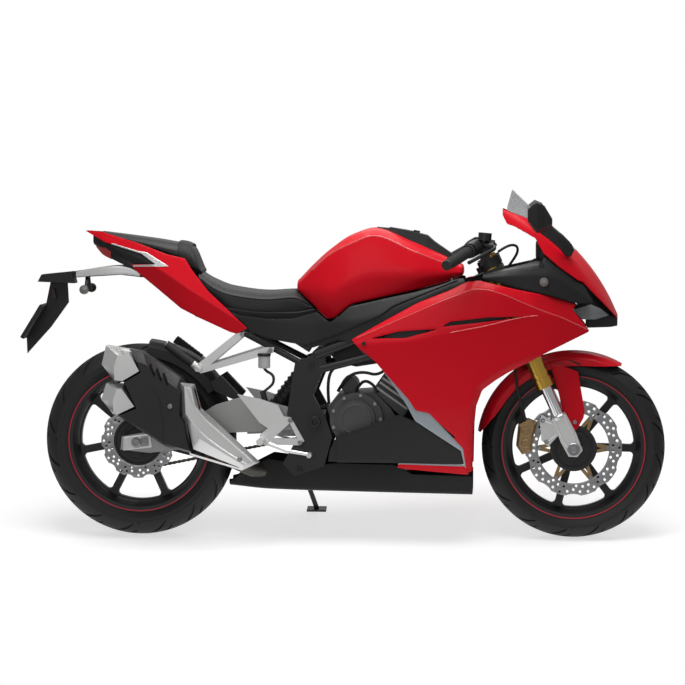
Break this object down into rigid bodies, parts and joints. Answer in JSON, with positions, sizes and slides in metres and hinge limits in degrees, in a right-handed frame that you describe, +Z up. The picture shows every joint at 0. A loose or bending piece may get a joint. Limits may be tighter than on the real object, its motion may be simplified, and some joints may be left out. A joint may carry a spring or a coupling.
{
  "type": "sport bike",
  "caption": "Faired sport motorcycle leaning on its side stand, with turning wheels, steering, hinged stand and fuel cap.",
  "frame": {"origin": "centre of the footprint on the ground, with the bike leaning on its side stand", "axes": "+X to the bike's front, +Y to the bike's left, to which it leans, +Z up"},
  "size_m": [2.059, 0.7374, 1.1237],
  "materials": {
    "black_metal": "satin",
    "black_plastic": "satin",
    "gold_metal": "anodised",
    "grey_metal": "satin",
    "lamp_lens": "gloss",
    "red_paint": "gloss",
    "rubber": "matte",
    "screen": "clear",
    "seat_cover": "matte",
    "silver_metal": "brushed",
    "steel": "brushed",
    "tyre": "matte"
  },
  "bodies": {
    "chassis": {"frame": "black_metal", "subframe": "black_metal", "engine": "grey_metal", "engine_covers": "black_metal", "intake": "black_plastic", "radiator": "black_metal", "exhaust_headers": "steel", "muffler_body": "black_metal", "muffler_trims": "silver_metal", "swingarm": "grey_metal", "rear_axle": "steel", "rear_shock": "black_metal", "rear_mudguard": "black_plastic", "chain": "steel", "rear_caliper": "gold_metal", "brake_reservoir": "black_plastic", "fuel_tank": "red_paint", "tank_cover": "black_plastic", "seats": "seat_cover", "tail_cowls": "red_paint", "tail_undertray": "black_plastic", "side_covers": "black_plastic", "side_fairings": "red_paint", "fairing_trims": "silver_metal", "lower_fairings": "black_plastic", "belly_pan": "black_plastic", "nose_cowl": "red_paint", "cockpit_panels": "black_plastic", "windscreen": "screen", "lamps": "lamp_lens", "mirrors": "black_plastic", "instrument_panel": "black_plastic", "plate_holder": "black_plastic", "fairing_stay": "black_plastic", "foot_controls": "silver_metal", "passenger_hangers": "silver_metal"},
    "steering": {"fork_clamps": "black_metal", "fork_tubes": "gold_metal", "fork_stanchions": "steel", "fork_feet": "black_metal", "front_axle": "steel", "handlebars": "black_metal", "grips": "rubber", "hand_controls": "black_metal", "front_fender": "red_paint", "front_caliper": "gold_metal", "brake_hose": "rubber"},
    "front_wheel": {"front_tyre": "tyre", "front_rim": "black_metal", "front_disc": "steel", "front_disc_carrier": "gold_metal"},
    "rear_wheel": {"rear_tyre": "tyre", "rear_rim": "black_metal", "rear_disc": "steel", "rear_sprocket": "steel"},
    "side_stand": {"side_stand": "black_metal"},
    "fuel_cap": {"fuel_cap": "black_metal"}
  },
  "joints": [
    {"name": "steering_turn", "type": "hinge", "parent": "chassis", "child": "steering", "pos_m": [0.4983, -0.04744, 0.72253], "axis": [-0.4147, 0.158, 0.8961], "range_deg": [-31, 31]},
    {"name": "front_wheel_spin", "type": "hinge", "parent": "steering", "child": "front_wheel", "pos_m": [0.7375, -0.12392, 0.28875], "axis": [0, 0.9848, -0.1736], "continuous": true},
    {"name": "rear_wheel_spin", "type": "hinge", "parent": "chassis", "child": "rear_wheel", "pos_m": [-0.6515, -0.12115, 0.30451], "axis": [0, 0.9848, -0.1736], "continuous": true},
    {"name": "stand_fold", "type": "hinge", "parent": "chassis", "child": "side_stand", "pos_m": [-0.1595, 0.02658, 0.20941], "axis": [0.1719, 0.9083, 0.3813], "range_deg": [0, 105]},
    {"name": "fuel_cap_open", "type": "hinge", "parent": "chassis", "child": "fuel_cap", "pos_m": [0.24028, -0.00507, 0.96281], "axis": [0, 0.9848, -0.1736], "range_deg": [0, 95]}
  ]
}
